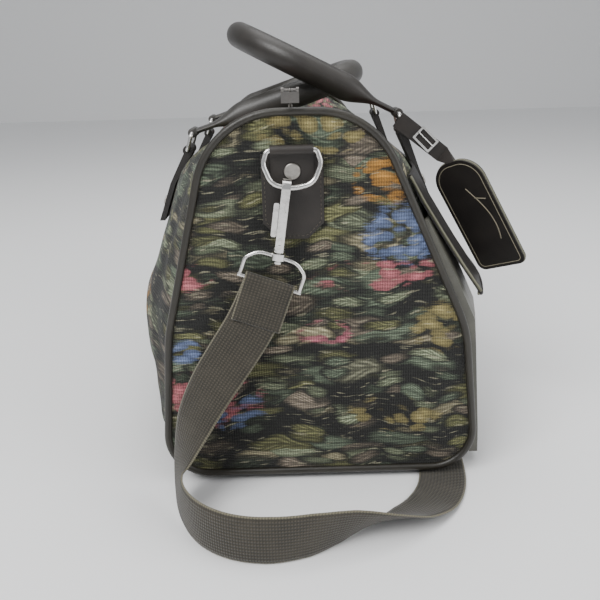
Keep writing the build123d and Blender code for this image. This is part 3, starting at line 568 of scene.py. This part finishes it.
# Route points in metres as the CAD has them: middle of the webbing, then the direction across it.
near_route = [
    (at(-36.5, -238.2, 175.2), (0.94, 0.0, -0.34)),
    (at(-48.0, -240.0, 149.0), (0.90, -0.05, -0.44)),
    (at(-66.0, -243.0, 122.0), (0.86, -0.20, -0.46)),
    (at(-84.0, -246.0, 96.0), (0.80, -0.45, -0.40)),
    (at(-99.0, -249.5, 69.0), (0.68, -0.68, -0.25)),
    (at(-108.5, -256.0, 42.0), (0.52, -0.78, 0.34)),
    (at(-111.0, -268.0, 25.5), (0.26, -0.40, 0.88)),
    (at(-105.0, -290.0, 20.6), (0.06, -0.10, 0.99)),
    (at(-90.0, -312.0, 20.0), (0.0, 0.0, 1.0)),
    (at(-67.0, -327.0, 19.9), (0.0, 0.0, 1.0)),
    (at(-40.0, -332.0, 19.9), (0.0, 0.0, 1.0)),
    (at(-12.0, -327.5, 19.8), (0.04, -0.10, 0.99)),
    (at(15.0, -316.0, 18.6), (0.16, -0.36, 0.92)),
    (at(41.0, -303.0, 14.4), (0.40, -0.66, 0.64)),
    (at(66.0, -288.0, 7.8), (0.66, -0.70, 0.27)),
    (at(86.0, -268.0, 3.0), (0.84, -0.53, 0.06)),
    (at(98.0, -243.0, 1.6), (0.97, -0.24, 0.0)),
    (at(103.0, -213.0, 1.6), (0.995, -0.10, 0.0)),
    (at(105.5, -160.0, 1.6), (0.999, -0.04, 0.0)),
    (at(107.0, -100.0, 1.6), (0.999, -0.02, 0.0)),
    (at(107.6, -40.0, 1.6), (1.0, 0.0, 0.0)),
    (at(107.4, 20.0, 1.6), (1.0, 0.0, 0.0)),
    (at(107.8, 80.0, 1.6), (1.0, 0.0, 0.0)),
    (at(108.8, 140.0, 1.6), (1.0, 0.0, 0.0)),
    (at(109.0, 196.0, 1.6), (1.0, 0.03, 0.0)),
    (at(106.5, 238.0, 1.6), (0.99, 0.14, 0.0)),
    (at(99.0, 271.0, 1.6), (0.87, 0.50, 0.0)),
    (at(83.5, 297.0, 1.6), (0.60, 0.80, 0.0)),
    (at(60.0, 312.6, 1.6), (0.05, 1.0, 0.0)),
    (at(43.4, 313.4, 1.6), (0.05, 1.0, 0.0)),
]
far_route = [
    (at(-36.5, 238.2, 175.2), (-0.94, 0.0, 0.34)),
    (at(-34.0, 239.5, 130.0), (-0.94, 0.0, 0.33)),
    (at(-30.0, 241.5, 92.0), (-0.95, 0.0, 0.28)),
    (at(-26.0, 246.0, 56.0), (-0.96, 0.02, 0.22)),
    (at(-21.5, 254.0, 26.0), (-0.97, 0.10, 0.17)),
    (at(-17.5, 268.0, 9.0), (-0.96, 0.24, 0.10)),
    (at(-13.0, 286.0, 2.6), (-0.92, 0.38, 0.05)),
    (at(-6.5, 302.5, 1.6), (-0.74, 0.67, 0.0)),
    (at(6.0, 312.6, 1.6), (-0.05, 1.0, 0.0)),
    (at(20.6, 313.4, 1.6), (-0.05, 1.0, 0.0)),
]


def spline_points(points):
    """Points along a NURBS through the route, read from a curve with no bevel."""
    data = bpy.data.curves.new("route", "CURVE")
    data.dimensions = "3D"
    data.resolution_u = 12
    s = data.splines.new("NURBS")
    s.points.add(len(points) - 1)
    s.points.foreach_set("co", [c for p in points for c in (*p, 1.0)])
    s.order_u = 3
    s.use_endpoint_u = True
    holder = bpy.data.objects.new("route", data)
    bpy.context.scene.collection.objects.link(holder)
    bpy.context.view_layer.update()
    mesh = bpy.data.meshes.new_from_object(holder)
    co = np.zeros(len(mesh.vertices) * 3)
    mesh.vertices.foreach_get("co", co)
    bpy.data.objects.remove(holder)
    bpy.data.meshes.remove(mesh)
    return co.reshape(-1, 3)


def band(name, route):
    """Webbing along the route: at each step an upper row and a lower row across, closed at its ends."""
    line, run = evenly(spline_points([p for p, d in route]), 420)
    knots = np.array([p for p, d in route])
    spans = np.concatenate([[0], np.cumsum(np.linalg.norm(np.diff(knots, axis=0), axis=1))])
    spans *= run[-1] / spans[-1]
    wide = np.stack([np.interp(run, spans, [d[i] for p, d in route]) for i in range(3)], axis=1)
    along = np.gradient(line, axis=0)
    along /= np.linalg.norm(along, axis=1)[:, None]
    wide -= along * np.sum(along * wide, axis=1)[:, None]
    wide /= np.linalg.norm(wide, axis=1)[:, None]
    normal = np.cross(along, wide)
    thick = 0.0019
    shares = np.linspace(-1, 1, 13)
    ring_a = np.concatenate([shares, shares[::-1]])
    ring_b = np.concatenate([np.ones(13), -np.ones(13)])
    ring_b[[0, 12, 13, 25]] *= 0.45
    points = line[:, None, :] + wide[:, None, :] * (ring_a * HALF_WEB)[None, :, None]
    cup = 0.0007 * (1 - ring_a ** 2)
    points = points + normal[:, None, :] * (ring_b * thick / 2 + cup)[None, :, None]
    points[:, :, 2] = np.maximum(points[:, :, 2], 0.0003)
    uv = np.zeros(points.shape[:2] + (2,))
    uv[:, :, 0] = run[:, None]
    uv[:, :, 1] = ((ring_a + 1) * HALF_WEB)[None, :]
    o = mesh_grid(name, points, uv, webbing_cloth, wrap_u=True, caps=True)
    return o, line


def flip_out(o):
    """Turns every face outwards."""
    bm = bmesh.new()
    bm.from_mesh(o.data)
    bmesh.ops.recalc_face_normals(bm, faces=bm.faces[:])
    bm.to_mesh(o.data)
    bm.free()


near_strap, near_line = band("strap_cloth", near_route)
far_strap, far_line = band("tail_cloth", far_route)
for strap in (near_strap, far_strap):
    flip_out(strap)
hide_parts("shoulder_strap")
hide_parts("strap_tail")


def hem(name, side, body):
    """Webbing folded round the bail's bar, its end sewn down over the strap below.

    The section is a path of rows: down the back, round the bar in a half circle, and down the front.
    """
    lean = math.radians(20)
    bar = np.array(at(-36.45, side * 238.17, 175.3))
    across = np.array([math.cos(lean), 0, -math.sin(lean)])
    down = np.array([-0.385, side * 0.03, -0.922])
    down -= across * (down @ across)
    down /= np.linalg.norm(down)
    out = np.array([0.0, side, 0.0])
    turn_steps = np.linspace(0, math.pi, 16)
    r = 0.0031
    rows = [bar + down * s - out * (r - 0.0012 * min(1, s / 0.01)) for s in np.linspace(0.012, 0, 5)]
    rows += [bar - down * r * math.sin(t) - out * r * math.cos(t) for t in turn_steps[1:-1]]
    rows += [bar + down * s + out * (r - 0.0004 * min(1, s / 0.01)) for s in np.linspace(0, 0.034, 12)]
    rows = np.array(rows)
    cols = np.linspace(-0.0189, 0.0189, 9)
    points = rows[:, None, :] + across[None, None, :] * cols[None, :, None]
    run = np.concatenate([[0], np.cumsum(np.linalg.norm(np.diff(rows, axis=0), axis=1))])
    uv = np.zeros(points.shape[:2] + (2,))
    uv[:, :, 0] = run[:, None]
    uv[:, :, 1] = (cols + HALF_WEB)[None, :]
    o = thicken(mesh_grid(name, points, uv, webbing_cloth), 0.0018, 0)
    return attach(o, body)


hem("near_strap_hem", -1, "near_ring")
hem("far_strap_hem", 1, "far_ring")
at(-66, -243, 122)
at(-40, -239, 165)
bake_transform(near_strap)
at(-30, 241, 95)
at(-36, 238.5, 165)
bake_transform(far_strap)


# ---- materials of the CAD parts -----------------------------------------------------------------------
piping_skin = leather("piping_skin", colour(0.010, 0.0085, 0.0055), colour(0.036, 0.031, 0.021), 0.42,
                      coat=0.1)
black_skin = leather("black_skin", colour(0.0075, 0.006, 0.0055), colour(0.030, 0.025, 0.021), 0.48, coat=0.1)
brown_skin = leather("brown_skin", colour(0.010, 0.0075, 0.006), colour(0.036, 0.028, 0.022), 0.5)
pocket_skin = leather("pocket_skin", colour(0.085, 0.083, 0.068), colour(0.20, 0.195, 0.165), 0.42, coat=0.1)
base_skin = leather("base_skin", colour(0.02, 0.018, 0.016), colour(0.05, 0.045, 0.04), 0.6)
nickel = metal("nickel", colour(0.72, 0.71, 0.69), 0.16)
pewter = metal("pewter", colour(0.42, 0.40, 0.37), 0.32, 0.25)
gun = metal("gun_metal", colour(0.20, 0.19, 0.18), 0.34, 0.2)
tape_black = material("tape_black", Base_Color=colour(0.012, 0.012, 0.011), Roughness=0.85)[0]

looks = {
    "near_piping": piping_skin, "far_piping": piping_skin, "base_panel": base_skin, "base_board": base_skin,
    "base_studs": pewter, "zip_tape_back": tape_black, "zip_tape_front": tape_black, "zip_teeth": tape_black,
    "zip_stops": gun, "zip_slider": gun, "zip_pull": gun,
    "anchor_rivets": pewter, "pocket_panel": pocket_skin, "pocket_gussets": pocket_skin,
    "pocket_flap": black_skin,
    "tag_body": black_skin, "tag_strap": brown_skin, "tag_buckle": nickel, "tag_prong": nickel,
    "strap_adjuster": pewter,
}
for end_name in ("near", "far"):
    looks.update({end_name + "_ring_patch": brown_skin, end_name + "_ring_tab": brown_skin,
                  end_name + "_tab_rivet": pewter, end_name + "_d_ring": nickel,
                  end_name + "_hook_body": nickel, end_name + "_hook_gate": nickel,
                  end_name + "_hook_bail": nickel,
                  "front_" + end_name + "_ring": nickel, "back_" + end_name + "_ring": nickel,
                  "front_" + end_name + "_anchor": black_skin, "back_" + end_name + "_anchor": black_skin})
for node_name, look in looks.items():
    slots = nodes[node_name].data.materials
    for i in range(len(slots)):
        slots[i] = look


# ---- rolled handles -----------------------------------------------------------------------------------
def stitched(name, base, light):
    """Rolled leather with a fin along its seam: pale stitches lie in a row on the fin."""
    m = leather(name, base, light, 0.42, coat=0.12)
    tree = m.node_tree
    shader = tree.nodes["Principled BSDF"]
    u, v = uv_of(tree).split()[:2]
    dash = (u * (2 * math.pi / 0.0042)).sin().ramp(-0.35, 0.05)
    row = (v - 0.5).math("ABSOLUTE").ramp(0.012, 0.006)
    below = Sig(tree, shader.inputs["Base Color"].links[0].from_socket)
    thread = (dash * row).mix(below, colour(0.16, 0.145, 0.11))
    thread.feed(shader.inputs["Base Color"], thread)
    return m


def rolled_handle(name, node, body, half_span, bend, top, lean, skin):
    """A U of rolled leather. Its section is a circle with a fin inwards, and is a flat tongue at each end.

    Rows follow the U's centreline. In a row, the radius is the grip's, plus a narrow bump where the fin is.
    Near an end the half width goes to the tongue's and the half thickness to a few mm.
    """
    foot, reach = 3.0, 154.0
    corners = [(foot, -half_span), (reach, -half_span), (reach, half_span), (foot, half_span)]
    u_line = rounded(corners, [bend, bend], 40)
    line, run = evenly(u_line, 220)
    along = np.gradient(line, axis=0)
    along /= np.linalg.norm(along, axis=1)[:, None]
    inward = np.stack([-along[:, 1], along[:, 0]], axis=1)
    from_end = np.minimum(run, run[-1] - run)
    full = np.clip((from_end - 14) / 34, 0, 1)
    full = full * full * (3 - 2 * full)
    tongue_wide, tongue_thick = 10.2, 2.6
    grip_wide, grip_thick = 11.2, 11.4
    half_wide = tongue_wide + (grip_wide - tongue_wide) * full
    half_thick = tongue_thick + (grip_thick - tongue_thick) * full
    theta = np.linspace(0, 2 * math.pi, 48, endpoint=False)
    fin = 4.6 * np.exp(-((theta - math.pi) / 0.20) ** 2)
    fin_room = np.clip((from_end - 30) / 20, 0, 1)
    r_wide = half_wide[:, None] * np.cos(theta)[None, :] - fin[None, :] * fin_room[:, None]
    r_thick = half_thick[:, None] * np.sin(theta)[None, :]
    local_u = line[:, 0:1] - inward[:, 0:1] * r_wide
    local_y = line[:, 1:2] - inward[:, 1:2] * r_wide
    angle = math.radians(lean)
    x = top[0] + local_u * math.cos(angle) - r_thick * math.sin(angle)
    z = top[1] + local_u * math.sin(angle) + r_thick * math.cos(angle)
    points = np.stack([x / 1000 - MIDDLE, local_y / 1000 + 0 * x, z / 1000], axis=2)
    uv = np.zeros(points.shape[:2] + (2,))
    uv[:, :, 0] = run[:, None] / 1000
    uv[:, :, 1] = (theta / (2 * math.pi) + 0.045)[None, :]
    o = mesh_grid(name, points, uv, skin, wrap_u=True, caps=True)
    flip_out(o)
    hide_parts(node)
    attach(o, body)
    for s in (-1, 1):
        ring = np.linspace(0, 2 * math.pi, 24, endpoint=False)
        ys = np.array([-10.2, -9.8, 9.8, 10.2])
        rr = np.array([3.3, 4.2, 4.2, 3.3])
        px = top[0] + rr[:, None] * np.cos(ring)[None, :]
        pz = top[1] + rr[:, None] * np.sin(ring)[None, :]
        py = s * half_span + ys[:, None] + 0 * px
        fold = np.stack([px / 1000 - MIDDLE, py / 1000, pz / 1000], axis=2)
        loop_name = name + ("_near_loop" if s < 0 else "_far_loop")
        loop = mesh_grid(loop_name, fold, fold[:, :, :2], skin, wrap_u=True, caps=True)
        flip_out(loop)
        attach(loop, body)


front_skin = stitched("front_handle_skin", colour(0.011, 0.009, 0.007), colour(0.040, 0.034, 0.028))
back_skin = stitched("back_handle_skin", colour(0.024, 0.022, 0.019), colour(0.075, 0.070, 0.062))
rolled_handle("front_handle_roll", "handle_front", "handle_front", 105.0, 65.0, (74.5, 286.0),
              180 - 26.5, front_skin)
rolled_handle("back_handle_roll", "handle_back", "handle_back", 80.0, 50.0, (-106.0, 272.0),
              17.9, back_skin)


# ---- cut edges, painted highlights on the flap's edges, and stitches ----------------------------------
def rod(name, points, radius, mat, body):
    """A thin round line through points given in the row frame in metres."""
    pts = np.array(points, float)
    along = np.gradient(pts, axis=0)
    along /= np.linalg.norm(along, axis=1)[:, None] + 1e-12
    guide = np.array([0.31, 0.22, 0.93])
    side = np.cross(along, guide)
    side /= np.linalg.norm(side, axis=1)[:, None]
    other = np.cross(along, side)
    ring = np.linspace(0, 2 * math.pi, 8, endpoint=False)
    grid = pts[:, None, :] + radius * (side[:, None, :] * np.cos(ring)[None, :, None]
                                       + other[:, None, :] * np.sin(ring)[None, :, None])
    o = mesh_grid(name, grid, grid[:, :, :2], mat, wrap_u=True, caps=True)
    flip_out(o)
    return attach(o, body)


# Pale: the tag's cut edge, and a painted highlight along the flap's binding edges and under its lip.
cut_edge_and_highlight = material("cut_edge_and_highlight", Base_Color=colour(0.15, 0.145, 0.10), Roughness=0.7)[0]
thread_dark = material("thread_dark", Base_Color=colour(0.07, 0.06, 0.045), Roughness=0.8)[0]
thread_pale = material("thread_pale", Base_Color=colour(0.24, 0.215, 0.155), Roughness=0.8)[0]


def front_x(y, z):
    """The front side's outer x in mm at y and z, between its corners."""
    pts = section_corners(1, y)[1]
    top = (pts[0][0], float(zip_z(y)))
    a, b = (top, pts[1]) if z > pts[1][1] else (pts[1], (pts[2][0], BASE_Z))
    return a[0] + (b[0] - a[0]) * (z - a[1]) / (b[1] - a[1])


# Heights in mm, and how far the flap's outside stands off the front side there.
flap_gap = ([150.0, 175.0, 200.0, 225.0, 246.0], [22.4, 15.9, 10.4, 5.4, 2.64])
# Pale rods along the flap's near and far edges: a painted highlight on its binding edge.
for edge_name, y in (("near", -196.6), ("far", 196.6)):
    heights = np.linspace(151, 245, 24)
    line = [at(front_x(y, z) + float(np.interp(z, *flap_gap)) - 0.6, y, z) for z in heights]
    rod("flap_edge_highlight_" + edge_name, line, 0.0011, cut_edge_and_highlight, "root")
lip = [at(front_x(y, 150.0) + 20.6, y, 149.6) for y in np.linspace(-196, 196, 40)]
rod("flap_lip", lip, 0.0021, black_skin, "root")
# A pale rod under the lip: a painted highlight on the lip's edge.
lip_highlight = [at(front_x(y, 150.0) + 18.9, y, 148.4) for y in np.linspace(-196, 196, 40)]
rod("flap_lip_highlight", lip_highlight, 0.0010, cut_edge_and_highlight, "root")


def on_tag(x, y, z):
    """A point in mm in the tag's own frame, from the middle of its top edge, as a point in the row frame."""
    turn_z = math.radians(-45)
    lean_y = math.radians(-29)
    x1, y1 = x * math.cos(turn_z) - y * math.sin(turn_z), x * math.sin(turn_z) + y * math.cos(turn_z)
    x2, z2 = x1 * math.cos(lean_y) + z * math.sin(lean_y), -x1 * math.sin(lean_y) + z * math.cos(lean_y)
    return at(116.0 + x2, -139.0 + y1, 247.0 + z2)


tag_line = rounded([(0, -3.2), (20.8, -3.2), (20.8, -101.8), (-20.8, -101.8), (-20.8, -3.2), (0.01, -3.2)],
                   [17.0, 4.5, 4.5, 17.0], 12)
tag_even = evenly(tag_line, 240)[0]
tag_face = -2.05
rod("tag_seam", [on_tag(p[0], tag_face, p[1]) for p in tag_even], 0.00035, thread_pale, "luggage_tag")
outer = rounded([(0, -0.2), (23.8, -0.2), (23.8, -104.8), (-23.8, -104.8), (-23.8, -0.2), (0.01, -0.2)],
                [20.0, 7.0, 7.0, 20.0], 12)
outer_even = evenly(outer, 200)[0]
rod("tag_cut_edge", [on_tag(p[0], 0.0, p[1]) for p in outer_even], 0.0009, cut_edge_and_highlight, "luggage_tag")
slit = [(2 + 12 * math.sin(t), tag_face, -26 - 52 * t / 2.2) for t in np.linspace(0, 2.2, 30)]
rod("tag_slit", [on_tag(*p) for p in slit], 0.0005, thread_pale, "luggage_tag")
tick = [(6 + 10 * t, tag_face, -36 - 3 * t) for t in np.linspace(0, 1, 6)]
rod("tag_tick", [on_tag(*p) for p in tick], 0.0005, thread_pale, "luggage_tag")

patch_half, tip_half, patch_y = 20.3, 9.9, 227.15
patch_top, patch_knee, patch_tip = 266.0, 219.0, 208.2
patch_line = [(TOP_X - patch_half, patch_top), (TOP_X - patch_half, patch_knee),
              (TOP_X - tip_half, patch_tip), (TOP_X + tip_half, patch_tip),
              (TOP_X + patch_half, patch_knee), (TOP_X + patch_half, patch_top)]
patch_even = evenly(np.array(patch_line), 44)[0]
for end_name, s in (("near", -1), ("far", 1)):
    for i in range(len(patch_even) - 1):
        a, b = patch_even[i], patch_even[i + 1]
        c, d = a + (b - a) * 0.2, a + (b - a) * 0.75
        stitch = [at(c[0], s * patch_y, c[1]), at(d[0], s * patch_y, d[1])]
        rod(f"{end_name}_patch_stitch_{i}", stitch, 0.0003, thread_dark, "root")


# ---- stage --------------------------------------------------------------------------------------------
bpy.ops.mesh.primitive_plane_add(size=9, location=(0, 1.5, 0))
floor = bpy.context.object
floor.name = "floor"
floor_paper = material("floor_paper", Base_Color=colour(0.86, 0.86, 0.86), Roughness=0.7)[0]
floor.data.materials.append(floor_paper)
bpy.ops.mesh.primitive_plane_add(size=9, location=(0, 4.0, 3.0), rotation=(math.radians(90), 0, 0))
backdrop = bpy.context.object
backdrop.name = "backdrop"
backdrop.data.materials.append(floor_paper)

world = bpy.data.worlds.new("room")
bpy.context.scene.world = world
world.use_nodes = True
world.node_tree.nodes["Background"].inputs[0].default_value = colour(0.95, 0.97, 1.0)
world.node_tree.nodes["Background"].inputs[1].default_value = 0.5


def softbox(name, place, target, size, power):
    """A square area light aimed at target."""
    data = bpy.data.lights.new(name, "AREA")
    data.size = size
    data.energy = power
    o = bpy.data.objects.new(name, data)
    bpy.context.scene.collection.objects.link(o)
    o.location = place
    o.rotation_euler = (Vector(target) - Vector(place)).to_track_quat("-Z", "Y").to_euler()


softbox("key", (-0.9, -1.3, 1.7), (0, -0.1, 0.15), 1.0, 40)
softbox("fill", (1.5, -0.9, 1.0), (0, -0.1, 0.15), 1.4, 16)
softbox("top", (0.1, 0.2, 2.0), (0, 0, 0.2), 1.6, 22)
